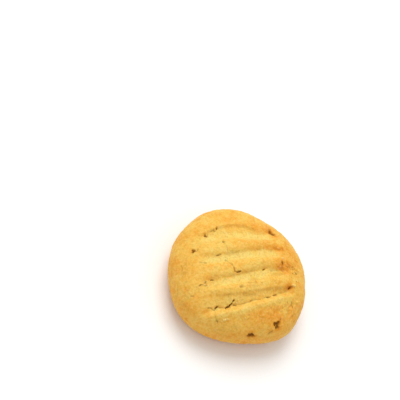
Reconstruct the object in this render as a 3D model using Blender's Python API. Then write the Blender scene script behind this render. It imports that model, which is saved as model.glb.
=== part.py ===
"""Anise biscuit: a domed round of short dough, pressed with a four-tined fork and baked.

The frame has its origin at the middle of the flat base, with +Z up, +X along the fork
marks towards the tips of the tines, and +Y across them. Lengths are in metres.
"""
import math

import bmesh
import bpy
import numpy as np
from mathutils import Matrix, Vector
from mathutils.bvhtree import BVHTree

MM = 0.001

# The round of dough.
WIDEST_RADIUS = 24.0 * MM
HEIGHT = 19.0 * MM
WIDEST_LEVEL = 7.6 * MM
UNDERSIDE_DEPTH = 11.4 * MM
CROWN_POWER = 2.35
UNDERSIDE_POWER = 2.2
BASE_ROUNDING = 1.6 * MM
# Each wave round the rim: how many crests, height as a part of the radius, first crest.
RIM_WAVES = ((2, 0.0105, -53.0), (3, 0.0215, -40.1), (4, 0.0152, 23.9), (5, 0.0108, 4.5))

# The marks of the fork, counted from the +Y side.
TINES = 4
# The line of each wall's foot: y at the middle in millimetres, then how it rises, bows and
# twists with x, x^2 and x^3, each x counted in CURVE_REACH and held between CURVE_ENDS.
CURVE_REACH = 10.0 * MM
CURVE_ENDS = (-1.9, 1.2)
FOOT_LINES = (
    (12.92, -1.64, -0.28, 0.42),
    (5.19, -0.05, -0.22, -0.35),
    (-2.42, 0.80, -0.30, -0.50),
    (-9.55, -0.02, 0.15, -0.24),
)
MARK_DEPTHS = (1.0 * MM, 1.0 * MM, 1.0 * MM, 1.7 * MM)
WALL_WIDTH = 2.0 * MM
WALL_POWER = 2.3
FOOT_ROUNDING = 0.15
FLOOR_END = 2.0 * MM
SLOPE_END = 4.4 * MM
MARK_STARTS = (-15.0 * MM, -18.5 * MM, -19.0 * MM, -20.0 * MM)
MARK_FADE = 7.0 * MM
MARK_STOP = 14.6 * MM
TIP_LENGTH = 2.4 * MM
LIP_HEIGHT = 0.16 * MM
LIP_WIDTH = 1.2 * MM
LIP_SETBACK = 2.6 * MM
# The arched step above the first mark, which dies out towards +X.
FIRST_ARCH = (15.55, -1.26, -2.83, -0.46)
LEAST_ARCH = 0.4 * MM
ARCH_STEP = 0.5 * MM
ARCH_SHARE = 0.62
ARCH_END = (4.0 * MM, 10.0 * MM)
# The lower edge of the last mark, whose floor falls away to it, and the lip beyond.
LAST_EDGE = (-12.45, 0.85, 0.40, 0.0)
LEAST_FLOOR = 0.5 * MM
LAST_SLOPE = 1.7 * MM
LAST_FALL = 0.80
FALL_START = 0.5 * MM
LAST_LIP_SHARE = 2.3
LAST_LIP_SETBACK = 0.2 * MM

# Pits where the points of the tines went in: x, y, radius and depth.
TINE_PITS = (
    (13.7 * MM, 11.4 * MM, 1.3 * MM, 0.35 * MM),
    (13.6 * MM, 4.1 * MM, 1.2 * MM, 0.15 * MM),
    (12.6 * MM, -2.3 * MM, 1.8 * MM, 0.4 * MM),
    (13.2 * MM, -9.8 * MM, 0.8 * MM, 0.7 * MM),
)

# Cracks baked open along the last mark and across the ridges: routes in millimetres,
# then each route's width and depth.
LAST_MARK_CRACK = (
    (-16.4, -11.8),
    (-14.9, -12.9),
    (-13.8, -12.1),
    (-11.7, -13.1),
    (-9.9, -12.75),
    (-8.6, -11.9),
    (-7.9, -11.2),
)
RIDGE_CRACK = (
    (-5.8, 9.5),
    (-5.1, 6.9),
    (-6.9, 3.2),
    (-5.9, 1.0),
    (-5.6, -1.2),
    (-4.7, -2.05),
    (-3.3, -2.05),
)
CRACKS = (
    (LAST_MARK_CRACK, 0.75 * MM, 0.75 * MM),
    (RIDGE_CRACK, 0.65 * MM, 0.45 * MM),
)

# Slow swells of the crust.
SWELL_SEED = 25
SWELLS = 14
SWELL_HEIGHT = 0.2 * MM
LONGEST_SWELL = 22.0 * MM
SHORTEST_SWELL = 9.0 * MM
SWELL_FADE_START = 0.80
SWELL_FADE_END = 0.96

# The grid that is wrapped over the dough, closer in the middle than at the base edge.
CELLS_ALONG = 50
CELLS_ACROSS = 92
MIDDLE_SPACING = 0.66
STRAIGHT_REACH = 0.45

# Anise seeds.
SEED_LENGTH = 3.5 * MM
SEED_WIDTH = 1.75 * MM
SEED_TAPER = 0.28
SEED_SIDES = 6
SEED_RINGS = 4
SEED_PROUD = 0.42 * MM
# Those that show on the top: x, y and heading.
TOP_SEEDS = (
    (5.6 * MM, -20.75 * MM, 75.0),
    (-3.3 * MM, -22.1 * MM, -20.0),
    (-16.1 * MM, 8.7 * MM, -60.0),
    (-10.4 * MM, 13.6 * MM, -58.0),
    (-5.6 * MM, 15.5 * MM, 35.0),
    (13.9 * MM, 11.3 * MM, -76.0),
    (13.2 * MM, -0.9 * MM, 85.0),
    (13.2 * MM, -9.8 * MM, -15.0),
    (-3.9 * MM, -2.15 * MM, 0.0),
    (5.4 * MM, -2.5 * MM, 12.0),
)
# Those on the side, round from +X past +Y: how many, their angles and their heights.
SIDE_SEEDS = 7
SIDE_SEED_DRAW = 12
SIDE_ANGLES = (-28.0, 105.0)
SIDE_PLAY = 6.0
SIDE_LEVELS = (3.5 * MM, 8.0 * MM)
RAY_START = 60.0 * MM

# Baked crust.
CRUST_COLOUR = (0.80, 0.45, 0.10, 1.0)
CRUST_ROUGHNESS = 0.62
SHARP_ANGLE = math.radians(55.0)

PROFILE_SAMPLES = 4000


def smooth_step(low, high, value):
    """Rise from 0 at low to 1 at high, level at both ends: 3t^2 - 2t^3."""
    t = np.clip((value - low) / (high - low), 0.0, 1.0)
    return t * t * (3.0 - 2.0 * t)


def dome_profile():
    """Half section from the crown to the base edge: arc, radius and height.

    An angle turns from the crown to the underside. Radius is sin^(2/p) and height is
    cos^(2/p) about the widest level, a superellipse with one power above and one below.
    A smooth maximum with zero then flattens the underside and rounds the base edge.
    """
    angle = np.linspace(0.0, math.pi, PROFILE_SAMPLES)
    above = angle <= math.pi / 2.0
    power = np.where(above, CROWN_POWER, UNDERSIDE_POWER)
    reach = np.where(above, HEIGHT - WIDEST_LEVEL, -UNDERSIDE_DEPTH)
    radius = WIDEST_RADIUS * np.sin(angle) ** (2.0 / power)
    height = WIDEST_LEVEL + reach * np.abs(np.cos(angle)) ** (2.0 / power)
    mix = np.clip(0.5 + 0.5 * height / BASE_ROUNDING, 0.0, 1.0)
    height = height * mix + BASE_ROUNDING * mix * (1.0 - mix)
    kept = int(np.argmax(height <= 0.0)) + 1
    radius, height = radius[:kept], height[:kept]
    arc = np.concatenate(([0.0], np.cumsum(np.hypot(np.diff(radius), np.diff(height)))))
    return arc, radius, height


def rim_factor(turn):
    """How far the rim stands out at an angle: 1 plus a cosine for each rim wave."""
    factor = np.ones_like(turn)
    for crests, part, first in RIM_WAVES:
        factor += part * np.cos(crests * (turn - math.radians(first)))
    return factor


def spread_lines(t):
    """Grid places from -1 to 1, drawn together in the middle: t (m + (1 - m) t^2)."""
    return t * (MIDDLE_SPACING + (1.0 - MIDDLE_SPACING) * t * t)


def square_to_disc(u, v):
    """Bend a square into a disc, leaving its middle straight.

    Each side is drawn in by sqrt(1 - w^2 / 2) of the other coordinate, which turns the
    square's edge into the circle, and the bend grows from nothing outside the middle.
    """
    bent_u = u * np.sqrt(1.0 - v * v / 2.0)
    bent_v = v * np.sqrt(1.0 - u * u / 2.0)
    bend = smooth_step(STRAIGHT_REACH, 1.0, np.hypot(bent_u, bent_v))
    return u + (bent_u - u) * bend, v + (bent_v - v) * bend


def swell(x, y, z):
    """Slow lumps: sines of random heading and length, added up."""
    draw = np.random.default_rng(SWELL_SEED)
    total = np.zeros_like(x)
    for _ in range(SWELLS):
        heading = draw.normal(size=3)
        heading /= np.linalg.norm(heading)
        length = draw.uniform(SHORTEST_SWELL, LONGEST_SWELL)
        phase = draw.uniform(0.0, 2.0 * math.pi)
        along = heading[0] * x + heading[1] * y + heading[2] * z
        total += np.sin(2.0 * math.pi * along / length + phase)
    return SWELL_HEIGHT * total / math.sqrt(SWELLS)


def bent_line(line, x):
    """Y of a gently bent line at x: a cubic of x."""
    middle, rise, bow, twist = line
    step = np.clip(x / CURVE_REACH, *CURVE_ENDS)
    return MM * (middle + step * (rise + step * (bow + step * twist)))


def rounded_share(t):
    """A share held at 1 with a soft corner: 1 less the softplus of what is missing to 1."""
    missing = np.log1p(np.exp((1.0 - t) / FOOT_ROUNDING))
    return np.clip(1.0 - FOOT_ROUNDING * missing, 0.0, 1.0)


def stepped_wall(x, foot, past_edge, wall):
    """The first mark's wall: a small arched step, then an even fall, plain at its +X end."""
    arch = np.maximum(bent_line(FIRST_ARCH, x) - foot, LEAST_ARCH)
    step = ARCH_SHARE * smooth_step(-arch, ARCH_STEP - arch, past_edge)
    fall = (1.0 - ARCH_SHARE) * rounded_share(1.0 + past_edge / arch)
    return wall + (step + fall - wall) * (1.0 - smooth_step(*ARCH_END, x))


def last_floor(x, foot, past_edge):
    """Share of the last mark's depth beyond its foot, with the share of its lower lip.

    The floor falls away evenly to the lower edge, where a rise leads to a Gaussian lip.
    """
    floor_end = np.maximum(foot - bent_line(LAST_EDGE, x), LEAST_FLOOR)
    slope_end = floor_end + LAST_SLOPE
    fallen = np.clip((past_edge + FALL_START) / (floor_end + FALL_START), 0.0, 1.0)
    slope = 1.0 - smooth_step(floor_end, slope_end, past_edge)
    lip = np.exp(-(((past_edge - slope_end - LAST_LIP_SETBACK) / LIP_WIDTH) ** 2))
    return slope * (1.0 - LAST_FALL * (1.0 - fallen)), lip


def fork_marks(x, y):
    """Depth of the four marks, less the lips that the tines pushed up.

    Across a mark, the ridge on its +Y side rounds over and steepens down to the foot, a
    power of the share of the wall's width. A floor follows, and a slope up to the next
    ridge, which ends in a Gaussian lip. Along it, a mark follows its line, fades in and
    stops at the tine's tip.
    """
    depth = np.zeros_like(x)
    lips = np.zeros_like(x)
    tip = 1.0 - smooth_step(MARK_STOP - TIP_LENGTH, MARK_STOP, x)
    for tine in range(TINES):
        length = tip * smooth_step(MARK_STARTS[tine], MARK_STARTS[tine] + MARK_FADE, x)
        foot = bent_line(FOOT_LINES[tine], x)
        past_edge = foot - y
        wall = rounded_share(1.0 + past_edge / WALL_WIDTH) ** WALL_POWER
        slope = 1.0 - smooth_step(FLOOR_END, SLOPE_END, past_edge)
        if tine == 0:
            wall = stepped_wall(x, foot, past_edge, wall)
        if tine == TINES - 1:
            slope, last_lip = last_floor(x, foot, past_edge)
            lips += LAST_LIP_SHARE * length * last_lip
        depth = np.maximum(depth, MARK_DEPTHS[tine] * wall * slope * length)
        lips += length * np.exp(-(((past_edge + LIP_SETBACK) / LIP_WIDTH) ** 2))
    return depth - LIP_HEIGHT * lips


def pits(x, y):
    """Round pits: depth times a Gaussian of the distance from each middle."""
    depth = np.zeros_like(x)
    for middle_x, middle_y, radius, deep in TINE_PITS:
        far = np.hypot(x - middle_x, y - middle_y) / radius
        depth += deep * np.exp(-far * far)
    return depth


def cracks(x, y):
    """Narrow cracks: a wedge as wide as the crack along each stretch of its route."""
    depth = np.zeros_like(x)
    for route, width, deep in CRACKS:
        near = np.full_like(x, HEIGHT)
        for (start_x, start_y), (end_x, end_y) in zip(route[:-1], route[1:]):
            run_x, run_y = (end_x - start_x) * MM, (end_y - start_y) * MM
            from_x, from_y = x - start_x * MM, y - start_y * MM
            part = (from_x * run_x + from_y * run_y) / (run_x * run_x + run_y * run_y)
            part = np.clip(part, 0.0, 1.0)
            near = np.minimum(near, np.hypot(from_x - part * run_x, from_y - part * run_y))
        depth = np.maximum(depth, deep * np.clip(1.0 - near / width, 0.0, 1.0))
    return depth


def wrap_over_dough(u, v):
    """Place grid points on the crust.

    A point's distance from the grid's middle is its arc from the crown, its direction is
    the angle round the biscuit, and the relief moves it along the section's normal.
    """
    arc, radius, height = dome_profile()
    disc_x, disc_y = square_to_disc(spread_lines(u), spread_lines(v))
    part = np.minimum(np.hypot(disc_x, disc_y), 1.0)
    turn = np.arctan2(disc_y, disc_x)
    way = part * arc[-1]
    reach = np.interp(way, arc, radius) * rim_factor(turn)
    z = np.interp(way, arc, height)
    out = -np.interp(way, arc, np.gradient(height, arc))
    up = np.interp(way, arc, np.gradient(radius, arc))
    x, y = reach * np.cos(turn), reach * np.sin(turn)
    on_top = z > WIDEST_LEVEL
    relief = swell(x, y, z) * (1.0 - smooth_step(SWELL_FADE_START, SWELL_FADE_END, part))
    relief -= np.where(on_top, fork_marks(x, y) + pits(x, y) + cracks(x, y), 0.0)
    x = x + relief * out * np.cos(turn)
    y = y + relief * out * np.sin(turn)
    z = np.where(part < 1.0 - 1e-6, z + relief * up, 0.0)
    return np.stack((x, y, z), axis=1)


def crust_material():
    """Golden baked crust, matt."""
    material = bpy.data.materials.new("baked crust")
    material.use_nodes = True
    shader = material.node_tree.nodes["Principled BSDF"]
    shader.inputs["Base Color"].default_value = CRUST_COLOUR
    shader.inputs["Roughness"].default_value = CRUST_ROUGHNESS
    shader.inputs["Metallic"].default_value = 0.0
    material.diffuse_color = CRUST_COLOUR
    return material


def make_dough(name):
    """A flat grid wrapped over the dough, closed by the flat base and centred on it."""
    bm = bmesh.new()
    bmesh.ops.create_grid(bm, x_segments=CELLS_ALONG, y_segments=CELLS_ACROSS, size=1.0)
    flat = np.array([vertex.co[:] for vertex in bm.verts])
    placed = wrap_over_dough(flat[:, 0], flat[:, 1])
    middle = (placed.min(axis=0) + placed.max(axis=0)) / 2.0
    placed[:, :2] -= middle[:2]
    for vertex, place in zip(bm.verts, placed):
        vertex.co = place
    rim = [edge for edge in bm.edges if edge.is_boundary]
    bmesh.ops.edgeloop_fill(bm, edges=rim)
    bmesh.ops.recalc_face_normals(bm, faces=bm.faces)
    mesh = bpy.data.meshes.new(name)
    bm.to_mesh(mesh)
    bm.free()
    dough = bpy.data.objects.new(name, mesh)
    bpy.context.scene.collection.objects.link(dough)
    return dough, Vector((middle[0], middle[1], 0.0))


def seed_mesh():
    """An egg shape along X: a sphere stretched, its width narrowing towards +X."""
    bm = bmesh.new()
    bmesh.ops.create_uvsphere(bm, u_segments=SEED_SIDES, v_segments=SEED_RINGS, radius=1.0)
    for vertex in bm.verts:
        across_1, across_2, along = vertex.co
        width = SEED_WIDTH / 2.0 * (1.0 - SEED_TAPER * along)
        vertex.co = (along * SEED_LENGTH / 2.0, across_1 * width, across_2 * width)
    bmesh.ops.recalc_face_normals(bm, faces=bm.faces)
    mesh = bpy.data.meshes.new("anise seed")
    bm.to_mesh(mesh)
    bm.free()
    return mesh


def side_seed_rays():
    """Level rays towards the axis, an even turn apart with a little play."""
    draw = np.random.default_rng(SIDE_SEED_DRAW)
    rays = []
    for angle in np.linspace(*SIDE_ANGLES, SIDE_SEEDS):
        turn = math.radians(angle + draw.uniform(-SIDE_PLAY, SIDE_PLAY))
        level = draw.uniform(*SIDE_LEVELS)
        outward = Vector((math.cos(turn), math.sin(turn), 0.0))
        start = outward * RAY_START + Vector((0.0, 0.0, level))
        rays.append((start, -outward, draw.uniform(0.0, 180.0)))
    return rays


def top_seed_rays(shift):
    """Rays straight down at the seeds that show on the top."""
    down = Vector((0.0, 0.0, -1.0))
    return [(Vector((x, y, RAY_START)) - shift, down, heading) for x, y, heading in TOP_SEEDS]


def lay_seeds(dough, shift):
    """Sink a seed where each ray meets the crust, lying along it and a little proud."""
    tree = BVHTree.FromPolygons(
        [vertex.co for vertex in dough.data.vertices],
        [polygon.vertices for polygon in dough.data.polygons],
    )
    group = bpy.data.collections.new("anise seeds")
    bpy.context.scene.collection.children.link(group)
    mesh = seed_mesh()
    for start, towards, heading in top_seed_rays(shift) + side_seed_rays():
        place, normal, _, _ = tree.ray_cast(start, towards)
        seed = bpy.data.objects.new("anise seed", mesh)
        sunk = place - normal * (SEED_WIDTH / 2.0 - SEED_PROUD)
        lying = normal.to_track_quat("Z", "X").to_matrix().to_4x4()
        turned = Matrix.Rotation(math.radians(heading), 4, "Z")
        seed.matrix_world = Matrix.Translation(sunk) @ lying @ turned
        group.objects.link(seed)
    return group


def fuse(dough, group):
    """Join the collection to the dough in one union, then remove what was joined."""
    union = dough.modifiers.new("seeds", "BOOLEAN")
    union.operation = "UNION"
    union.operand_type = "COLLECTION"
    union.collection = group
    union.solver = "EXACT"
    bpy.context.view_layer.update()
    evaluated = dough.evaluated_get(bpy.context.evaluated_depsgraph_get())
    fused = bpy.data.meshes.new_from_object(evaluated)
    dough.modifiers.clear()
    dough.data = fused
    for seed in list(group.objects):
        bpy.data.objects.remove(seed)
    bpy.data.collections.remove(group)


def finish_surface(dough):
    """Triangles, one material, and smooth shading that keeps the base edge."""
    bm = bmesh.new()
    bm.from_mesh(dough.data)
    bmesh.ops.triangulate(bm, faces=bm.faces)
    bm.to_mesh(dough.data)
    bm.free()
    dough.data.materials.clear()
    dough.data.materials.append(crust_material())
    dough.data.shade_smooth()
    dough.data.set_sharp_from_angle(angle=SHARP_ANGLE)


def build():
    """Clear the scene and make the biscuit."""
    for old in list(bpy.data.objects):
        bpy.data.objects.remove(old)
    dough, shift = make_dough("biscuit")
    fuse(dough, lay_seeds(dough, shift))
    finish_surface(dough)


build()
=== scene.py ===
"""The look of an anise biscuit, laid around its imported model: the baked dough with its fork
marks and cracks, the anise seeds in it, and the crumbs on it. Lengths are in metres."""
import math

import bpy
import numpy as np
from mathutils import Matrix, Vector


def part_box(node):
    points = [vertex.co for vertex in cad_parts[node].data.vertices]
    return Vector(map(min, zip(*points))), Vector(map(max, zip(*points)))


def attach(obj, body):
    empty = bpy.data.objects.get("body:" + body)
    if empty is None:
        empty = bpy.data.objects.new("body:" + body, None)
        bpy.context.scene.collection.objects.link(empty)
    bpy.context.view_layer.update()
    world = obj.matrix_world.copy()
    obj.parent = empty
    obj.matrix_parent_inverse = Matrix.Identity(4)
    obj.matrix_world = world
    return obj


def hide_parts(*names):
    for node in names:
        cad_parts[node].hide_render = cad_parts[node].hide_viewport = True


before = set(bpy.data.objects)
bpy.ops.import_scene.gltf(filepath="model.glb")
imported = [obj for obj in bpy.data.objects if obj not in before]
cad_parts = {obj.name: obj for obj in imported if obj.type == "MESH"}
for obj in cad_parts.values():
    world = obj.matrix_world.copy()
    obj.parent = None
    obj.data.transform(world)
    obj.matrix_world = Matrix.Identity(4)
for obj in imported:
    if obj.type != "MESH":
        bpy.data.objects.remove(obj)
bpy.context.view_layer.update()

MM = 0.001

# ------------------------------
# The baked dough.
# A ball of short dough is set on the tray, pressed once with a four-tined fork, and baked.
# It spreads to a flat base and a round side, its ridges brown, and its crust opens in fine
# cracks where the fork drew it thin.
# ------------------------------

WIDEST_RADIUS = 24.0 * MM
HEIGHT = 19.0 * MM
WIDEST_LEVEL = 7.6 * MM
UNDERSIDE_DEPTH = 11.4 * MM
CROWN_POWER = 2.35
UNDERSIDE_POWER = 2.2
BASE_ROUNDING = 1.6 * MM
PROFILE_SAMPLES = 4000
# Each wave round the rim: how many crests, height as a part of the radius, first crest.
RIM_WAVES = ((2, 0.0105, -53.0), (3, 0.0215, -40.1), (4, 0.0152, 23.9), (5, 0.0108, 4.5))


def smooth_step(low, high, value):
    """Rise from 0 at low to 1 at high, level at both ends: 3t^2 - 2t^3."""
    t = np.clip((value - low) / (high - low), 0.0, 1.0)
    return t * t * (3.0 - 2.0 * t)


def dome_profile():
    """Half section from the crown to the base edge: arc, radius and height.

    An angle turns from the crown to the underside. Radius is sin^(2/p) and height is
    cos^(2/p) about the widest level, a superellipse with one power above and one below.
    A smooth maximum with zero then flattens the underside and rounds the base edge.
    """
    angle = np.linspace(0.0, math.pi, PROFILE_SAMPLES)
    above = angle <= math.pi / 2.0
    power = np.where(above, CROWN_POWER, UNDERSIDE_POWER)
    reach = np.where(above, HEIGHT - WIDEST_LEVEL, -UNDERSIDE_DEPTH)
    radius = WIDEST_RADIUS * np.sin(angle) ** (2.0 / power)
    height = WIDEST_LEVEL + reach * np.abs(np.cos(angle)) ** (2.0 / power)
    mix = np.clip(0.5 + 0.5 * height / BASE_ROUNDING, 0.0, 1.0)
    height = height * mix + BASE_ROUNDING * mix * (1.0 - mix)
    kept = int(np.argmax(height <= 0.0)) + 1
    radius, height = radius[:kept], height[:kept]
    arc = np.concatenate(([0.0], np.cumsum(np.hypot(np.diff(radius), np.diff(height)))))
    return arc, radius, height


ARC, RADIUS, RISE = dome_profile()
OUTWARD = -np.gradient(RISE, ARC)
UPWARD = np.gradient(RADIUS, ARC)


def rim_factor(turn):
    """How far the rim stands out at an angle: 1 plus a cosine for each rim wave."""
    factor = np.ones_like(turn)
    for crests, share, first in RIM_WAVES:
        factor += share * np.cos(crests * (turn - math.radians(first)))
    return factor


def smooth_dome(part, turn):
    """A point of the smooth dome and its section's normal, as x, y, z, outward, upward.

    part is the arc from the crown as a share of the whole, turn the angle about +Z.
    """
    curves = (RADIUS, RISE, OUTWARD, UPWARD)
    reach, z, out, up = (np.interp(part * ARC[-1], ARC, curve) for curve in curves)
    reach = reach * rim_factor(turn)
    return reach * np.cos(turn), reach * np.sin(turn), z, out, up


def arc_share(x, y):
    """Share of the whole arc at which the dome passes over a place on the plan.

    It is looked up by the place's distance from the middle over the rim's factor.
    """
    widest = int(np.argmax(RADIUS))
    radius = np.hypot(x, y) / rim_factor(np.arctan2(y, x))
    return np.interp(radius, RADIUS[:widest], ARC[:widest]) / ARC[-1]


def on_dome(x, y):
    """Points of the smooth dome over places on the plan, by their share of the arc."""
    return np.stack(smooth_dome(arc_share(x, y), np.arctan2(y, x))[:3], axis=1)


def hump(far):
    """A Gaussian bell: 1 at a distance of 0, next to nothing beyond 2."""
    return np.exp(-far * far)


def lattice_noise(x, y, z, cell, seed):
    """Smooth noise from -1 to 1, by random values at the corners of a cubic lattice.

    The eight corners round a point are mixed by the product of three smooth steps.
    """
    size = 64
    table = np.random.default_rng(seed).uniform(-1.0, 1.0, (size, size, size))
    steps = [np.asarray(axis) / cell for axis in (x, y, z)]
    whole = [np.floor(step).astype(int) for step in steps]
    share = [smooth_step(0.0, 1.0, step - low) for step, low in zip(steps, whole)]
    total = 0.0
    for corner in np.ndindex(2, 2, 2):
        weight = 1.0
        for side, part in zip(corner, share):
            weight = weight * (part if side else 1.0 - part)
        place = tuple((low + side) % size for low, side in zip(whole, corner))
        total = total + weight * table[place]
    return total


def layered_noise(x, y, z, *layers, step=0):
    """Lattice noises added up. A layer is its height, cell and seed, which step moves on."""
    return sum(high * lattice_noise(x, y, z, cell, seed + step) for high, cell, seed in layers)


# Slow swells of the crust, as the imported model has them.
SWELL_SEED = 25
SWELLS = 14
SWELL_HEIGHT = 0.2 * MM
LONGEST_SWELL = 22.0 * MM
SHORTEST_SWELL = 9.0 * MM
SWELL_FADE = (0.80, 0.96)


def swell(x, y, z, part):
    """Slow lumps: sines of random heading and length, added up, level at the base edge."""
    draw = np.random.default_rng(SWELL_SEED)
    total = np.zeros_like(x)
    for _ in range(SWELLS):
        heading = draw.normal(size=3)
        heading /= np.linalg.norm(heading)
        length = draw.uniform(SHORTEST_SWELL, LONGEST_SWELL)
        phase = draw.uniform(0.0, 2.0 * math.pi)
        along = heading[0] * x + heading[1] * y + heading[2] * z
        total += np.sin(2.0 * math.pi * along / length + phase)
    return SWELL_HEIGHT * total / math.sqrt(SWELLS) * (1.0 - smooth_step(*SWELL_FADE, part))


# The marks of the fork, counted from the +Y side.
TINES = 4
# The line of each wall's foot: y at the middle in millimetres, then how it rises, bows and
# twists with x, x^2 and x^3, each x counted in CURVE_REACH and held between CURVE_ENDS.
CURVE_REACH = 10.0 * MM
CURVE_ENDS = (-1.9, 1.2)
FOOT_LINES = (
    (12.92, -1.64, -0.28, 0.42),
    (5.19, -0.05, -0.22, -0.35),
    (-2.42, 0.80, -0.30, -0.50),
    (-9.55, -0.02, 0.15, -0.24),
)
MARK_DEPTHS = (1.0 * MM, 1.0 * MM, 1.0 * MM, 1.7 * MM)
WALL_WIDTH = 2.0 * MM
WALL_POWER = 2.3
FOOT_ROUNDING = 0.15
FLOOR_END = 2.0 * MM
SLOPE_END = 4.4 * MM
MARK_STARTS = (-15.0 * MM, -18.5 * MM, -19.0 * MM, -20.0 * MM)
MARK_FADE = 7.0 * MM
MARK_STOP = 14.6 * MM
TIP_LENGTH = 2.4 * MM
LIP_HEIGHT = 0.16 * MM
LIP_WIDTH = 1.2 * MM
LIP_SETBACK = 2.6 * MM
# The arched step above the first mark, which dies out towards +X.
FIRST_ARCH = (15.55, -1.26, -2.83, -0.46)
LEAST_ARCH = 0.4 * MM
ARCH_STEP = 0.5 * MM
ARCH_SHARE = 0.62
ARCH_END = (4.0 * MM, 10.0 * MM)
ARCH_SHADE = 0.25
# The lower edge of the last mark, whose floor falls away to it, and the lip beyond.
LAST_EDGE = (-12.45, 0.85, 0.40, 0.0)
LEAST_FLOOR = 0.5 * MM
LAST_SLOPE = 1.7 * MM
LAST_FALL = 0.80
FALL_START = 0.5 * MM
LAST_LIP_SHARE = 2.3
LAST_LIP_SETBACK = 0.2 * MM
LAST_LIP_PALING = 0.85
# How far past each foot the pale floor starts and ends, and the ridge's brown crest.
PALE_START = (-0.1 * MM, 1.2 * MM)
PALE_END = 2.3 * MM
PALE_FADE = 1.3 * MM
# The last mark's floor is paled less than the others: painted shade where it lies deeper under its
# wall.
FLOOR_PALING = (1.0, 1.0, 1.0, 0.55)
CREST_START = (-4.2 * MM, -3.0 * MM)
CREST_END = (-0.3 * MM, 0.1 * MM)
RIDGE_BROWNING = (0.6, 1.1, 0.3, 0.2)
# The torn line along each foot: a shallow crease, with painted shade along it.
FOOT_WIDTH = 0.42 * MM
FOOT_CREASE = 0.05 * MM
FOOT_SHADES = (0.4, 1.0, 0.9, 1.0)
FOOT_SHADE_STARTS = (-18.0 * MM, -12.0 * MM, -18.0 * MM, -15.0 * MM)
FOOT_HOLD = 0.6
LEAST_FOOT = 0.2
# What makes the marks uneven, as noises: height, cell and seed, which moves on by tines.
EDGE_WOBBLE = (0.20 * MM, 3.1 * MM, 10)
EDGE_FRAY = (0.10 * MM, 0.9 * MM, 20)
DEPTH_PLAY = (0.14, 4.0 * MM, 30)
TIP_PLAY = (0.5 * MM, 1.4 * MM, 40)
FOOT_TEARS = (0.7, 1.9 * MM, 70)


def bent_line(line, x):
    """Height of a gently bent line at x: a cubic of x."""
    step = np.clip(x / CURVE_REACH, *CURVE_ENDS)
    middle, rise, bow, twist = line
    return MM * (middle + step * (rise + step * (bow + step * twist)))


def rounded_share(t):
    """A share held at 1 with a soft corner: 1 less the softplus of what is missing to 1."""
    missing = np.log1p(np.exp((1.0 - t) / FOOT_ROUNDING))
    return np.clip(1.0 - FOOT_ROUNDING * missing, 0.0, 1.0)


def stepped_wall(x, line, past_edge, wall):
    """The first mark's wall, with how far it is paled and how far it is shaded.

    A small arched step and an even run down to the foot stand in for the plain wall,
    and give way to it towards +X. The shade is a Gaussian line under the step.
    """
    stepped = 1.0 - smooth_step(*ARCH_END, x)
    arch = np.maximum(bent_line(FIRST_ARCH, x) - line, LEAST_ARCH)
    run = rounded_share(1.0 + past_edge / arch)
    step = ARCH_SHARE * smooth_step(-arch, ARCH_STEP - arch, past_edge)
    wall = wall + (step + (1.0 - ARCH_SHARE) * run - wall) * stepped
    under_step = hump((past_edge + arch - ARCH_STEP) / ARCH_STEP)
    return wall, run * stepped, ARCH_SHADE * stepped * under_step


def mark_floor(x, line, past_edge, last):
    """Ends of a mark's floor and of the slope beyond it, and how deep they lie, as a share.

    The slope rises as a smooth step. The last mark's floor falls evenly to its lower edge.
    """
    floor_end, slope_end = np.full_like(x, FLOOR_END), np.full_like(x, SLOPE_END)
    if last:
        floor_end = np.maximum(line - bent_line(LAST_EDGE, x), LEAST_FLOOR)
        slope_end = floor_end + LAST_SLOPE
    slope = 1.0 - smooth_step(floor_end, slope_end, past_edge)
    if last:
        fallen = np.clip((past_edge + FALL_START) / (floor_end + FALL_START), 0.0, 1.0)
        slope = slope * (1.0 - LAST_FALL * (1.0 - fallen))
    return floor_end, slope_end, slope


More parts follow.
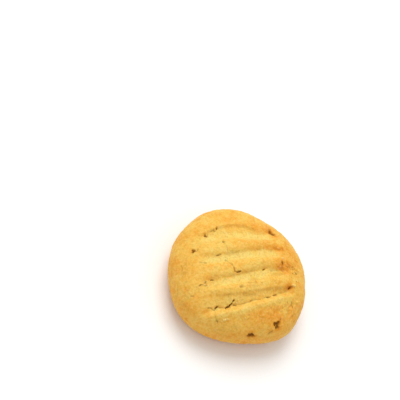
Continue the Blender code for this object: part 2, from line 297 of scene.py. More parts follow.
def fork_marks(x, y):
    """Depth of the four marks, less their lips, with the shares of floor, ridge and foot shade.

    Across a mark, the ridge on its +Y side rounds over and steepens down to the foot, a
    power of the share of the wall's width. A floor follows, and a slope up to the next
    ridge, which ends in a Gaussian lip. Beyond the last mark's slope lies a higher lip.
    Along it, each mark follows its line, fades in and stops at the tine's tip.
    """
    flat = np.zeros_like(x)
    depth, floor, ridge, foot, lips = (flat.copy() for _ in range(5))
    for tine in range(TINES):
        last = tine == TINES - 1
        start, shade_start = MARK_STARTS[tine], FOOT_SHADE_STARTS[tine]
        stop = MARK_STOP + layered_noise(x, y, flat, TIP_PLAY, step=tine)
        length = smooth_step(start, start + MARK_FADE, x)
        length = length * (1.0 - smooth_step(stop - TIP_LENGTH, stop, x))
        line = bent_line(FOOT_LINES[tine], x)
        wobble = layered_noise(x, flat, flat, EDGE_WOBBLE, step=tine)
        wobble += layered_noise(x, y, flat, EDGE_FRAY, step=tine)
        past_edge = line + wobble - y
        wall = rounded_share(1.0 + past_edge / WALL_WIDTH) ** WALL_POWER
        pale = smooth_step(*PALE_START, past_edge)
        if tine == 0:
            wall, step_pale, step_shade = stepped_wall(x, line, past_edge, wall)
            pale = np.maximum(pale, step_pale)
            foot = np.maximum(foot, length * step_shade)
        floor_end, slope_end, slope = mark_floor(x, line, past_edge, last)
        uneven = 1.0 + layered_noise(x, y, flat, DEPTH_PLAY, step=tine)
        depth = np.maximum(depth, MARK_DEPTHS[tine] * uneven * wall * slope * length)
        lips += length * hump((past_edge + LIP_SETBACK) / LIP_WIDTH)
        if last:
            lower = length * hump((past_edge - slope_end - LAST_LIP_SETBACK) / LIP_WIDTH)
            lips += LAST_LIP_SHARE * lower
            floor = np.maximum(floor, LAST_LIP_PALING * lower)
        pale_end = floor_end if last else PALE_END
        pale = pale * (1.0 - smooth_step(pale_end, pale_end + PALE_FADE, past_edge))
        floor = np.maximum(floor, FLOOR_PALING[tine] * pale * length)
        crest = smooth_step(*CREST_START, past_edge) * (1.0 - smooth_step(*CREST_END, past_edge))
        ridge = np.maximum(ridge, RIDGE_BROWNING[tine] * crest * length)
        torn = FOOT_HOLD + layered_noise(x, flat, flat, FOOT_TEARS, step=tine)
        shade = FOOT_SHADES[tine] * length * np.clip(torn, LEAST_FOOT, 1.0)
        shade = shade * smooth_step(shade_start, shade_start + MARK_FADE, x)
        foot = np.maximum(foot, shade * hump(past_edge / FOOT_WIDTH))
    return depth + FOOT_CREASE * foot - LIP_HEIGHT * lips, floor, ridge, foot


# Pits where the points of the tines went in, in millimetres: x, y, radius twice, and depth.
TINE_PITS = (
    (13.7, 11.4, 1.3, 1.3, 0.35),
    (13.6, 4.1, 1.2, 1.2, 0.15),
    (12.6, -2.3, 1.8, 1.8, 0.4),
    (13.2, -9.8, 0.8, 0.8, 0.7),
)


def soft_ovals(x, y, ovals):
    """Soft ovals added up: strength times a Gaussian of the scaled distance.

    An oval is its x, y, reach along x and reach along y, in millimetres, and its strength.
    """
    total = np.zeros_like(x)
    for middle_x, middle_y, reach_x, reach_y, strength in ovals:
        far = np.hypot((x / MM - middle_x) / reach_x, (y / MM - middle_y) / reach_y)
        total += strength * hump(far)
    return total


def pressed(x, y):
    """Depth of the fork marks and the pits, with the marks' shares of floor, ridge, foot."""
    marks, *shares = fork_marks(x, y)
    return marks + MM * soft_ovals(x, y, TINE_PITS), *shares


# Cracks, in millimetres: route, half width and depth.
CRACKS = (
    # Along the lower edge of the last mark, the widest one.
    (((-11.1, -13.1), (-10.6, -13.05), (-9.9, -12.75), (-9.1, -12.25)), 0.23, 1.0),
    (((-9.6, -12.5), (-9.1, -12.25), (-8.6, -11.9)), 0.27, 1.0),
    (((-8.6, -11.9), (-8.2, -11.5)), 0.22, 1.0),
    (((-8.1, -11.4), (-7.9, -11.2)), 0.36, 0.8),
    (((-16.4, -11.8), (-15.6, -12.3), (-14.9, -12.9)), 0.20, 0.50),
    (((-14.9, -12.9), (-14.6, -12.5)), 0.18, 0.45),
    (((-14.6, -12.45), (-14.2, -12.2), (-13.8, -12.1)), 0.29, 0.80),
    (((-13.3, -12.4), (-12.7, -12.8), (-11.4, -13.0)), 0.13, 0.22),
    (((-8.2, -12.7), (-7.4, -12.9)), 0.22, 0.45),
    (((-15.0, -13.2), (-14.9, -14.3), (-14.5, -15.9)), 0.15, 0.20),
    (((-14.4, -16.0), (-14.2, -16.3)), 0.24, 0.34),
    (((4.4, -12.05), (5.5, -11.9)), 0.31, 0.70),
    (((6.7, -11.65), (7.9, -11.45)), 0.24, 0.55),
    (((-6.9, -12.9), (-2.9, -12.6), (3.3, -12.1), (9.6, -11.2), (13.0, -10.6)), 0.15, 0.20),
    # Across the ridges.
    (((-5.7, 9.6), (-5.4, 9.2)), 0.36, 0.60),
    (((-5.5, 9.0), (-5.4, 7.9), (-5.1, 6.9), (-5.4, 5.4)), 0.21, 0.14),
    (((-6.6, 3.7), (-7.2, 3.2), (-6.9, 2.5), (-6.4, 2.1)), 0.15, 0.22),
    (((-6.4, 2.1), (-5.5, 0.9)), 0.15, 0.20),
    (((-5.5, 0.9), (-5.45, -0.6), (-5.5, -1.2), (-5.1, -1.8)), 0.19, 0.36),
    (((-5.4, -1.75), (-4.7, -2.05), (-3.3, -2.05)), 0.23, 0.45),
    (((-6.6, 3.7), (-5.9, 3.5), (-6.0, 2.9)), 0.14, 0.20),
    # Torn spots on the walls and the side.
    (((-14.0, -3.15), (-12.6, -3.2)), 0.22, 0.42),
    (((-17.9, -4.2), (-17.0, -3.7), (-16.3, -3.9), (-15.3, -3.2)), 0.19, 0.40),
    (((-18.9, -4.2), (-17.6, -4.9)), 0.13, 0.22),
    (((-9.3, 5.2), (-7.8, 5.2)), 0.18, 0.36),
    (((-15.6, 4.1), (-14.5, 3.6), (-13.3, 3.1)), 0.20, 0.42),
    (((-9.7, 13.9), (-8.4, 14.6), (-7.1, 15.1)), 0.14, 0.22),
    (((-7.0, 15.0), (-6.6, 14.7)), 0.26, 0.40),
    (((-15.9, 8.0), (-14.7, 8.3)), 0.20, 0.30),
    (((12.9, -14.3), (12.75, -16.0)), 0.22, 0.50),
    (((14.1, -1.9), (15.6, -3.3), (16.8, -3.8)), 0.16, 0.34),
    (((17.4, -4.5), (17.9, -4.8)), 0.26, 0.55),
    (((14.0, -0.7), (14.1, -1.6)), 0.18, 0.40),
    (((16.5, -2.4), (17.8, -2.9)), 0.15, 0.30),
    (((-20.7, 5.0), (-21.1, 2.8)), 0.15, 0.18),
    (((-18.4, 7.2), (-20.6, 2.0), (-21.4, -2.0)), 0.12, 0.08),
    (((-20.6, -6.4), (-20.1, -6.9)), 0.14, 0.22),
    (((13.9, -9.7), (14.7, -9.5)), 0.15, 0.26),
    (((3.0, -22.5), (3.9, -22.2)), 0.20, 0.28),
    # Shallow dents on the marked middle.
    (((-4.8, -7.5), (-4.4, -7.45)), 0.60, 0.28),
    (((-4.3, -9.9), (-3.7, -9.85)), 0.60, 0.13),
    (((-4.4, -10.4), (-0.2, -10.6)), 0.60, 0.11),
    (((8.0, -3.2), (12.9, -3.3)), 0.55, 0.16),
    (((8.0, -4.7), (11.8, -4.8)), 0.75, 0.08),
    (((-0.6, -5.4), (1.9, -5.6)), 0.80, 0.09),
    (((0.7, -7.1), (1.0, -5.9)), 0.34, 0.17),
    (((-1.8, -6.6), (0.8, -6.65)), 0.32, 0.14),
)
# Noises that bend a thin crack along x and y, and that make all of them uneven in width.
CRACK_BENDS = ((0.32 * MM, 0.8 * MM, 51), (0.32 * MM, 0.8 * MM, 52))
CRACK_PLAY = (0.13 * MM, 0.9 * MM, 53)
THIN_CRACK = 0.14 * MM
LEAST_CRACK = 0.02 * MM
# In half widths from a crack's middle: its wall, then its rim's middle and width.
CRACK_WALL = (0.2, 1.3)
CRACK_RIM = 1.9
CRACK_RIM_WIDTH = 0.6
CRACK_RIM_SHARE = 0.22


def from_route(x, y, route):
    """Distance to a broken line, the least of those to its stretches."""
    near = np.full_like(x, HEIGHT)
    for (start_x, start_y), (end_x, end_y) in zip(route[:-1], route[1:]):
        run_x, run_y = (end_x - start_x) * MM, (end_y - start_y) * MM
        from_x, from_y = x - start_x * MM, y - start_y * MM
        share = (from_x * run_x + from_y * run_y) / (run_x * run_x + run_y * run_y)
        share = np.clip(share, 0.0, 1.0)
        near = np.minimum(near, np.hypot(from_x - share * run_x, from_y - share * run_y))
    return near


def cracks(x, y):
    """Depth of the cracks, and the height of the rims that they push up.

    The routes are bent, a thin crack's more than a wide one's, and their widths uneven,
    so thin cracks are broken. A rim is a Gaussian of the distance beyond the crack's edge.
    """
    flat = np.zeros_like(x)
    bend_x, bend_y = (layered_noise(x, y, flat, layer) for layer in CRACK_BENDS)
    wider = layered_noise(x, y, flat, CRACK_PLAY)
    depth, rim = np.zeros_like(x), np.zeros_like(x)
    for route, half_width, deep in CRACKS:
        half_width, deep = half_width * MM, deep * MM
        width = np.maximum(half_width + wider, LEAST_CRACK)
        open_share = np.minimum(width / half_width, 1.0)
        thin = min(THIN_CRACK / half_width, 1.0)
        near = from_route(x + thin * bend_x, y + thin * bend_y, route) / width
        depth = np.maximum(depth, deep * open_share * (1.0 - smooth_step(*CRACK_WALL, near)))
        rim = np.maximum(rim, deep * open_share * hump((near - CRACK_RIM) / CRACK_RIM_WIDTH))
    return depth, CRACK_RIM_SHARE * rim


# Anise seeds in the top crust, each sunk so far that it shows through a torn opening. In
# millimetres and degrees: x, y, heading, length and width of the opening, the height of
# the seed's back over the crust, then the opening's lobes: how many, their share, the first.
TOP_SEEDS = (
    (5.6, -20.75, 75.0, 2.4, 2.1, -0.06, 3, 0.48, -30.0),
    (-3.1, -22.05, -14.0, 2.8, 1.6, -0.24, 3, 0.20, 90.0),
    (-16.0, 8.5, -60.0, 1.6, 1.2, -0.45, 3, 0.25, 60.0),
    (-10.4, 13.6, -58.0, 1.35, 1.0, -0.50, 3, 0.30, 20.0),
    (-5.6, 15.5, 35.0, 0.7, 0.5, -0.80, 2, 0.20, 0.0),
    (13.9, 11.2, -76.0, 2.8, 1.8, -0.32, 2, 0.20, 10.0),
    (13.2, -0.9, 85.0, 1.1, 0.8, -0.80, 2, 0.20, 40.0),
    (13.5, -9.8, -15.0, 1.0, 0.8, -0.80, 2, 0.20, 90.0),
    (-3.9, -2.15, 0.0, 1.6, 0.45, -0.50, 2, 0.20, 30.0),
    (5.4, -2.5, 12.0, 1.0, 0.4, -0.50, 2, 0.20, 0.0),
)
# And those on the side, round from +X past +Y: how many, their angles and their heights,
# then in millimetres the ranges of an opening's length and width and of its seed's back.
SIDE_SEEDS = 7
SIDE_SEED_DRAW = 12
SIDE_ANGLES = (-28.0, 105.0)
SIDE_PLAY = 6.0
SIDE_LEVELS = (3.5 * MM, 8.0 * MM)
SIDE_OPENINGS = ((1.4, 2.8), (0.6, 1.3), (-0.2, -0.05))
SIDE_LOBES = (3, 0.25)
SEED_LENGTH = 3.5 * MM
SEED_WIDTH = 1.75 * MM
SOCKET_DEPTH = 0.75 * MM
SOCKET_RIM = (0.76, 1.04)
SOCKET_FRAY = ((0.30, 0.8 * MM, 62), (0.2, 0.4 * MM, 63))
SCORCH_REACH = 0.55


def seed_places():
    """Arc share, turn and heading of every seed, its opening, its back's height and lobes.

    The arc share is looked up by a seed's place on the plan, or on the side by its height.
    """
    x, y, heading, length, width, back, lobes, share, first = np.array(TOP_SEEDS).T
    part, turn = arc_share(x * MM, y * MM), np.arctan2(y, x)
    opening = (length * MM, width * MM, back * MM, lobes, share, np.radians(first))
    rows = [np.column_stack((part, turn, np.radians(heading), *opening))]
    draw = np.random.default_rng(SIDE_SEED_DRAW)
    openings = np.random.default_rng(SIDE_SEED_DRAW + 1)
    for angle in np.linspace(*SIDE_ANGLES, SIDE_SEEDS):
        side_turn = math.radians(angle + draw.uniform(-SIDE_PLAY, SIDE_PLAY))
        way = np.interp(-draw.uniform(*SIDE_LEVELS), -RISE, ARC)
        heading = math.radians(draw.uniform(0.0, 180.0))
        opening = [openings.uniform(*bounds) * MM for bounds in SIDE_OPENINGS]
        rows.append([[way / ARC[-1], side_turn, heading, *opening, *SIDE_LOBES, heading]])
    return np.concatenate(rows)


def seed_frames():
    """Every seed's middle on the dome, and its axes: the way it lies, its side, its normal.

    The way it lies is +X turned by the heading and laid into the surface.
    """
    part, turn, heading = seed_places()[:, :3].T
    x, y, z, out, up = smooth_dome(part, turn)
    normal = np.stack((out * np.cos(turn), out * np.sin(turn), up), axis=1)
    way = np.stack((np.cos(heading), np.sin(heading), np.zeros_like(heading)), axis=1)
    lying = way - (way * normal).sum(axis=1)[:, None] * normal
    lying /= np.linalg.norm(lying, axis=1)[:, None]
    axes = np.stack((lying, np.cross(normal, lying), normal), axis=1)
    return np.stack((x, y, z), axis=1), axes


def sockets(x, y, z):
    """Depth of the opening over each seed, and the scorched ring round it.

    The opening is an oval whose radius swings with the cosine of its lobes, with a
    ragged rim and steep sides. The ring fades out from the rim as a Gaussian.
    """
    ragged = 1.0 + layered_noise(x, y, z, *SOCKET_FRAY)
    depth, scorch = np.zeros_like(x), np.zeros_like(x)
    for middle, axes, opening in zip(*seed_frames(), seed_places()[:, 3:]):
        length, width, _, lobes, share, first = opening
        along, over, above = axes @ (np.stack((x, y, z)) - middle[:, None])
        lobed = 1.0 + share * np.cos(lobes * (np.arctan2(over, along) - first))
        far = np.hypot(2.0 * along / length, 2.0 * over / width) * ragged / lobed
        near = np.abs(above) < SEED_LENGTH / 2.0
        sunk = SOCKET_DEPTH * (1.0 - smooth_step(*SOCKET_RIM, far))
        depth = np.maximum(depth, np.where(near, sunk, 0.0))
        ring = hump(np.maximum(far - 1.0, 0.0) / SCORCH_REACH)
        scorch = np.maximum(scorch, np.where(near, ring, 0.0))
    return depth, scorch


# Rough, crumbly patches, as soft ovals.
ROUGH_PATCHES = (
    (11.0, -15.8, 5.2, 3.2, 3.2),
    (16.4, -3.0, 2.4, 1.6, 1.5),
    (-16.4, -4.2, 2.6, 1.2, 0.8),
    (-8.5, -12.6, 3.4, 1.2, 0.8),
    (-1.0, -19.0, 6.0, 3.0, 0.6),
)
# Pores where small bubbles opened: a scatter over the crust, and more in rough patches.
PORE_COUNT = 170
PATCH_PORES = 45
PORE_RADIUS = (0.15 * MM, 0.32 * MM)
PORE_DEPTH = (0.10 * MM, 0.30 * MM)
PORE_DRAW = 71
PORE_REACH = 0.85
PATCH_PORE_SPREAD = 0.7


def pores(x, y, z):
    """Depth of the pores, each a Gaussian dip at a random place of the crust."""
    draw = np.random.default_rng(PORE_DRAW)
    part = np.sqrt(draw.uniform(0.0, PORE_REACH, PORE_COUNT))
    turn = draw.uniform(-math.pi, math.pi, PORE_COUNT)
    places = [np.stack(smooth_dome(part, turn)[:3], axis=1)]
    for middle_x, middle_y, reach_x, reach_y, _ in ROUGH_PATCHES:
        spot_x, spot_y = (
            MM * (middle + PATCH_PORE_SPREAD * reach * draw.normal(size=PATCH_PORES))
            for middle, reach in ((middle_x, reach_x), (middle_y, reach_y))
        )
        places.append(on_dome(spot_x, spot_y))
    places = np.concatenate(places)
    radius = draw.uniform(*PORE_RADIUS, len(places))
    deep = draw.uniform(*PORE_DEPTH, len(places))
    depth = np.zeros_like(x)
    for middle, wide, low in zip(places, radius, deep):
        square = (x - middle[0]) ** 2 + (y - middle[1]) ** 2 + (z - middle[2]) ** 2
        depth = np.maximum(depth, low * np.exp(-square / wide**2))
    return depth


# Fine relief. Wrinkles run along the rim on the -X side, and creases round the side.
WRINKLED_RIM = ((-21.5, 2.0, 3.0, 9.0, 0.6),)
WRINKLE_RISE = 0.10
MARKED_MIDDLE = ((0.0, 0.0, 16.0, 13.0, 1.0),)
# Grain in three sizes: height, what rough patches add to it, cell and seed.
GRAINS = (
    (0.090 * MM, 0.0, 1.7 * MM, 81),
    (0.080 * MM, 0.09 * MM, 0.80 * MM, 82),
    (0.050 * MM, 0.07 * MM, 0.42 * MM, 83),
)
DRAG = (0.035 * MM, 0.7 * MM, 86)
DRAG_STRETCH = 9.0
CREASE_LENGTH = 5.0 * MM
CREASE_SPACING = 0.8 * MM
CREASE_DEPTH = 0.09 * MM
CREASE_WIDTH = 0.10
CREASE_LINES = (1.0, 1.0, 84)
CREASE_SPOTS = (1.0, 6.0 * MM, 85)
CREASE_LEVELS = (-0.2, 0.4)
# Shares of the arc over which the creases start below the top and stop above the base.
CREASE_START = (0.46, 0.60)
CREASE_STOP = (0.86, 0.95)
CRACKLE = (1.0, 1.1 * MM, 87)
CRACKLE_WIDTH = 0.13
CRACKLE_FULL = 2.2
CRACKLE_SHADE = 1.2


def crust_grain(x, y, z, part, turn):
    """Fine relief: three sizes of grain, creases on the side, crackle in rough patches.

    A crease is where a noise that is long round the biscuit and short up its side
    passes through zero, and crackle is where a round one does. A slight drag along the
    marks is a noise long in x, short in y. The second share is painted shade for the
    creases and the crackle.
    """
    flat = np.zeros_like(x)
    rough = soft_ovals(x, y, ROUGH_PATCHES)
    grain = sum(
        (plain + more * rough) * lattice_noise(x, y, z, cell, seed)
        for plain, more, cell, seed in GRAINS
    )
    drag = layered_noise(x / DRAG_STRETCH, y, flat, DRAG) * soft_ovals(x, y, MARKED_MIDDLE)
    around, down = turn * WIDEST_RADIUS / CREASE_LENGTH, part * ARC[-1] / CREASE_SPACING
    wrinkled = soft_ovals(x, y, WRINKLED_RIM)
    spots = smooth_step(*CREASE_LEVELS, layered_noise(x, y, z, CREASE_SPOTS) + wrinkled)
    side = smooth_step(*CREASE_START, part + WRINKLE_RISE * wrinkled)
    side = side * (1.0 - smooth_step(*CREASE_STOP, part))
    crease = hump(layered_noise(around, down, flat, CREASE_LINES) / CREASE_WIDTH) * spots * side
    crackle = hump(layered_noise(x, y, z, CRACKLE) / CRACKLE_WIDTH)
    crackle *= np.clip(rough / CRACKLE_FULL, 0.0, 1.0)
    relief = grain + drag - CREASE_DEPTH * (crease + crackle)
    return relief, np.maximum(crease, CRACKLE_SHADE * crackle)


# How brown each place is baked, from 0, pale, to 1, dark brown. The marked middle stays
# paler than the rest, the floors of the marks palest.
PLAIN_BAKE = 0.46
MIDDLE_PALENESS = 0.17
MIDDLE_OVAL = (15.0 * MM, 14.5 * MM)
FLOOR_PALENESS = 0.24
ROUGH_BAKE = 0.05
RIDGE_BAKE = 0.20
RIDGE_BAKE_START = (-7.0 * MM, 9.0 * MM)
SIDE_BAKE = 0.11
SIDE_BAKE_LEVELS = (4.0 * MM, 14.0 * MM)
EDGE_BAKE = 0.20
EDGE_BAKE_LEVELS = (0.2 * MM, 2.6 * MM)
SCORCH_BAKE = 0.16
BAKE_MOTTLE = ((0.07, 5.0 * MM, 91), (0.09, 1.8 * MM, 92), (0.05, 0.8 * MM, 93))
# Browner and paler soft ovals, which fade in over these heights. Some are the crust's own
# patchy browning, and some are painted light and shade: paler where more light falls
# than the relief gives, browner where more shade falls.
PATCH_LEVELS = (7.6 * MM, 11.0 * MM)
BROWNING_AND_SHADING_PATCHES = (
    (1.5, -18.0, 4.6, 2.2, 0.20),
    (7.0, -20.0, 4.5, 2.0, 0.22),
    (-18.0, -5.4, 3.2, 1.4, -0.14),
    (-14.0, 9.0, 4.0, 1.6, -0.08),
    (-9.0, -16.5, 6.0, 2.2, -0.08),
    (-12.0, 12.0, 3.6, 1.8, -0.14),
    (15.0, -2.0, 2.4, 1.7, 0.18),
    (14.1, 4.4, 1.8, 0.9, 0.26),
    (12.4, 6.9, 1.4, 1.0, -0.14),
    (16.4, 2.6, 1.1, 1.8, -0.18),
    (16.2, -4.0, 1.4, 1.8, -0.14),
    (15.6, -11.0, 1.6, 1.6, -0.12),
    (-13.8, -6.8, 4.2, 1.0, -0.12),
    (8.0, -4.3, 4.0, 1.2, 0.15),
    (12.8, -4.6, 1.6, 1.0, 0.12),
    (0.5, -5.0, 2.6, 0.8, 0.10),
    (-9.5, 7.8, 4.5, 2.8, -0.08),
    (-14.6, -13.1, 2.0, 1.0, -0.12),
    (10.6, -20.0, 3.0, 2.4, -0.10),
    (12.4, -2.0, 2.3, 1.6, 0.30),
    (11.9, 0.6, 1.8, 1.3, 0.20),
    (12.9, -9.4, 1.8, 1.0, 0.26),
    (-3.9, -22.6, 1.5, 0.6, 0.22),
    (-8.0, -20.4, 5.0, 1.8, -0.06),
    (-2.0, -6.6, 9.0, 1.4, -0.05),
    (-1.0, -11.0, 7.0, 1.2, 0.08),
    (-22.3, -8.5, 2.0, 3.0, 0.10),
    (10.0, 12.6, 4.5, 1.0, 0.08),
    (17.5, 2.0, 4.0, 7.0, 0.18),
    (-4.2, -9.9, 1.4, 0.6, 0.04),
    (-1.2, -9.7, 1.8, 0.6, 0.14),
    (9.8, -14.3, 3.4, 1.4, -0.10),
    (-10.2, -11.8, 1.9, 1.2, -0.09),
    (17.6, 8.1, 1.2, 1.8, -0.12),
    (-8.5, 10.6, 2.5, 1.2, -0.06),
    (12.9, -3.0, 1.2, 0.8, 0.18),
    (-16.5, -4.9, 1.4, 1.2, -0.12),
    (-4.9, -12.9, 2.0, 0.8, -0.08),
    (1.6, -1.6, 2.0, 0.9, -0.14),
    (10.5, -4.6, 3.4, 0.9, 0.14),
    (13.4, 9.6, 1.6, 0.9, 0.14),
    (-6.0, -11.6, 2.6, 1.0, -0.10),
    (-22.5, 7.0, 2.5, 4.0, 0.10),
    (-4.0, 0.0, 3.0, 1.0, 0.06),
)


def baking(x, y, z, floor, ridge):
    """Share of browning: less on the marks' floors, more on ridges, side and base edge.

    Three noises mottle it, the coarsest 5 mm, the finest 0.8 mm.
    """
    middle = (x / MIDDLE_OVAL[0]) ** 2 + (y / MIDDLE_OVAL[1]) ** 2
    brown = PLAIN_BAKE - FLOOR_PALENESS * floor - MIDDLE_PALENESS * hump(middle)
    brown += ROUGH_BAKE * np.minimum(soft_ovals(x, y, ROUGH_PATCHES), 1.0)
    brown += RIDGE_BAKE * ridge * smooth_step(*RIDGE_BAKE_START, x)
    brown += SIDE_BAKE * (1.0 - smooth_step(*SIDE_BAKE_LEVELS, z))
    brown += EDGE_BAKE * (1.0 - smooth_step(*EDGE_BAKE_LEVELS, z))
    # Part of these patches is painted light and shade, not browning.
    brown += soft_ovals(x, y, BROWNING_AND_SHADING_PATCHES) * smooth_step(*PATCH_LEVELS, z)
    return np.clip(brown + layered_noise(x, y, z, *BAKE_MOTTLE), 0.0, 1.0)


# How the parts of the relief meet: the fine relief dies out towards the base edge, and each
# kind of hollow gets painted shade by its share.
RELIEF_FADE = (0.94, 0.995)
CRACK_SHADE_DEPTH = 0.55 * MM
PAINTED_FOOT_SHADE = 0.26
PAINTED_CREASE_SHADE = 0.16
EDGE_SHARE = 1.0 - 1e-6


def moved_out(dome, turn, relief):
    """Points of the smooth dome, moved by a relief along the section's normal."""
    x, y, z, out, up = dome
    across = relief * out
    return np.stack((x + across * np.cos(turn), y + across * np.sin(turn), z + relief * up), axis=1)


def crust(part, turn):
    """Points of the finished crust, with how brown each is and how much painted shade it takes.

    The relief is swells and grain, less pores, sockets, marks, pits and cracks. The base
    edge is held level, and nothing goes below it.
    """
    dome = smooth_dome(part, turn)
    x, y, z = dome[:3]
    on_top = np.where(z > WIDEST_LEVEL, 1.0, 0.0)
    marks, floor, ridge, foot = (share * on_top for share in pressed(x, y))
    split, raised = (share * on_top for share in cracks(x, y))
    socket, scorch = sockets(x, y, z)
    grain, crease = crust_grain(x, y, z, part, turn)
    level = 1.0 - smooth_step(*RELIEF_FADE, part)
    relief = swell(x, y, z, part) + (grain - pores(x, y, z) - socket) * level
    relief += raised - split - marks
    brown = np.clip(baking(x, y, z, floor, ridge) + SCORCH_BAKE * scorch, 0.0, 1.0)
    # Painted shade: darker colour in cracks and sockets by their depth, along the marks' feet and
    # in creases.
    painted_shade = split / CRACK_SHADE_DEPTH + socket / SOCKET_DEPTH
    painted_shade = np.clip(painted_shade + PAINTED_FOOT_SHADE * foot + PAINTED_CREASE_SHADE * crease, 0.0, 1.0)
    points = moved_out(dome, turn, relief)
    points[:, 2] = np.where(part > EDGE_SHARE, 0.0, np.maximum(points[:, 2], 0.0))
    return points, brown, painted_shade


# The grid that is wrapped over the dough, and the rings that close its base, which are
# dimpled a little from some way in.
GRID_CELLS = 280
MIDDLE_SPACING = 0.66
STRAIGHT_REACH = 0.45
BASE_RINGS = 14
BASE_DIMPLE = 0.16 * MM
BASE_DIMPLE_START = 0.12
BASE_BUMPS = ((1.0, 1.7 * MM, 95), (0.6, 0.8 * MM, 96))
BASE_BAKE = 0.62
BASE_MOTTLE = 0.12
# Painted shade in the base's dimples, by how far they rise.
BASE_DIMPLE_SHADE = 0.4


def square_to_disc(u, v):
    """Bend a square into a disc, leaving its middle straight.

    Grid lines are first drawn together in the middle: t (m + (1 - m) t^2). Each side is
    then drawn in by sqrt(1 - w^2 / 2) of the other coordinate, which turns the square's
    edge into the circle, and the bend grows from nothing outside the middle.
    """
    u, v = (t * (MIDDLE_SPACING + (1.0 - MIDDLE_SPACING) * t * t) for t in (u, v))
    bent_u = u * np.sqrt(1.0 - v * v / 2.0)
    bent_v = v * np.sqrt(1.0 - u * u / 2.0)
    bend = smooth_step(STRAIGHT_REACH, 1.0, np.hypot(bent_u, bent_v))
    return u + (bent_u - u) * bend, v + (bent_v - v) * bend


def ring_quads(rings):
    """Quads between rings of point numbers, each ring closed onto its own start."""
    ahead = np.roll(rings, -1, axis=1)
    return np.stack((rings[:-1], rings[1:], ahead[1:], ahead[:-1]), axis=-1).reshape(-1, 4)


def ring_fan(ring, point):
    """Triangles that close a ring of point numbers at one point."""
    return np.stack((ring, np.full(len(ring), point), np.roll(ring, -1)), axis=1)


def dough_surface():
    """Points and faces of the whole closed dough, how brown each point is and its painted shade.

    The crust is a square grid bent into a disc and wrapped over the dome. The base is
    its boundary drawn in ring by ring to a middle point, dimpled a little upwards.
    """
    line = np.linspace(-1.0, 1.0, GRID_CELLS + 1)
    disc_x, disc_y = square_to_disc(*(axis.ravel() for axis in np.meshgrid(line, line)))
    part = np.minimum(np.hypot(disc_x, disc_y), 1.0)
    points, brown, painted_shade = crust(part, np.arctan2(disc_y, disc_x))
    grid = np.arange(len(points)).reshape(GRID_CELLS + 1, GRID_CELLS + 1)
    quads = np.stack((grid[:-1, :-1], grid[:-1, 1:], grid[1:, 1:], grid[1:, :-1]), axis=-1)
    rim = np.concatenate((grid[0, :-1], grid[:-1, -1], grid[-1, :0:-1], grid[:0:-1, 0]))
    inward = np.arange(1, BASE_RINGS + 1)[:, None] / (BASE_RINGS + 1.0)
    rings = points[rim] * (1.0 - inward)[:, :, None]
    bump = layered_noise(rings[..., 0], rings[..., 1], np.zeros(rings.shape[:2]), *BASE_BUMPS)
    dimple = np.clip(bump, 0.0, 1.0)
    rings[..., 2] = BASE_DIMPLE * dimple * smooth_step(0.0, BASE_DIMPLE_START, inward)
    ring_index = len(points) + np.arange(bump.size).reshape(bump.shape)
    base = ring_quads(np.concatenate((rim[None, :], ring_index)))
    fan = ring_fan(ring_index[-1], len(points) + bump.size)
    faces = np.concatenate((quads.reshape(-1, 4), base)).tolist() + fan.tolist()
    points = np.concatenate((points, rings.reshape(-1, 3), [[0.0, 0.0, 0.0]]))
    brown = np.concatenate((brown, BASE_BAKE + BASE_MOTTLE * bump.ravel(), [BASE_BAKE]))
    painted_shade = np.concatenate((painted_shade, BASE_DIMPLE_SHADE * dimple.ravel(), [0.0]))
    return points, faces, {"brown": brown, "painted_shade": painted_shade}


def mesh_piece(name, points, faces, values):
    """A smooth mesh object from arrays, with one named number for each point."""
    mesh = bpy.data.meshes.new(name)
    mesh.from_pydata(points.tolist(), [], faces)
    for label, numbers in values.items():
        attribute = mesh.attributes.new(label, "FLOAT", "POINT")
        attribute.data.foreach_set("value", np.asarray(numbers, dtype=np.float32))
    mesh.shade_smooth()
    mesh.validate()
    piece = bpy.data.objects.new(name, mesh)
    bpy.context.scene.collection.objects.link(piece)
    return piece


def centre_shift(points):
    """How far the crust's own middle lies from the frame's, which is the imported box's."""
    low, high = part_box("biscuit")
    middle = (points.min(axis=0) + points.max(axis=0)) / 2.0
    return np.array((middle[0] - (low.x + high.x) / 2.0, middle[1] - (low.y + high.y) / 2.0, 0.0))


dough_points, dough_faces, dough_values = dough_surface()
SHIFT = centre_shift(dough_points)
dough = mesh_piece("baked_dough", dough_points - SHIFT, dough_faces, dough_values)


def give(tree, socket, value):
    """Link an input socket to another socket, or set its own constant."""
    if isinstance(value, bpy.types.NodeSocket):
        tree.links.new(value, socket)
    else:
        socket.default_value = value


def add(tree, kind, inputs=None, **settings):
    """A shader node with its settings, each named input given a socket or a constant."""
    node = tree.nodes.new("ShaderNode" + kind)
    for label, value in settings.items():
        setattr(node, label, value)
    for label, value in (inputs or {}).items():
        give(tree, node.inputs[label], value)
    return node


def scaled(tree, value, factor):
    """A value times a factor, which is a constant or a socket."""
    return add(tree, "Math", {0: value, 1: factor}, operation="MULTIPLY").outputs[0]


def spread(tree, value, span):
    """A value taken from one range to another. What the span leaves out is 0 or 1."""
    return add(tree, "MapRange", {"Value": value, **span}).outputs["Result"]


# The grain of the crust: two noises, and the spans of the soft one that give the specks.
GRAIN_SCALE = 1500.0
SOFT_GRAIN = {"Detail": 3.0, "Roughness": 0.55}
FINE_GRAIN = {"Detail": 2.0, "Roughness": 0.6}
FINER_GRAIN = 3.0
FINE_SHARE = 0.4
PALE_SPAN = {"From Min": 0.50, "From Max": 0.80}
DARK_SPAN = {"From Min": 0.52, "From Max": 0.22}


